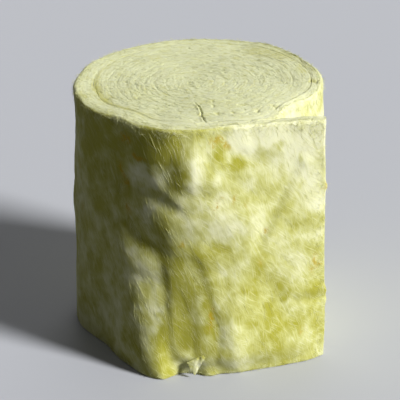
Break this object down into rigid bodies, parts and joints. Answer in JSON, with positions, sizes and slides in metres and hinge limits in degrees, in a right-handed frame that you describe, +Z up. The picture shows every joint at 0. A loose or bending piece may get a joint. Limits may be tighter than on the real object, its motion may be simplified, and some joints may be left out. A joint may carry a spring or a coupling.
{
  "type": "insulation roll",
  "caption": "Glass-wool insulation blanket wound into a roll, standing on end, with the free end of its outer turn left open.",
  "frame": {"origin": "on the roll's axis, at the end that it stands on", "axes": "+Z up along the roll's axis, which is the blanket's width; -Y towards the front, where the outer turn's loose end leaves the roll; +X towards the loose end's square cut edge"},
  "size_m": [0.5853, 0.6181, 0.6],
  "materials": {
    "glass_wool": "matt, fibrous, pale yellow-green, unfaced glass wool"
  },
  "bodies": {
    "root": {"glass_wool_blanket": "glass_wool"}
  },
  "joints": []
}
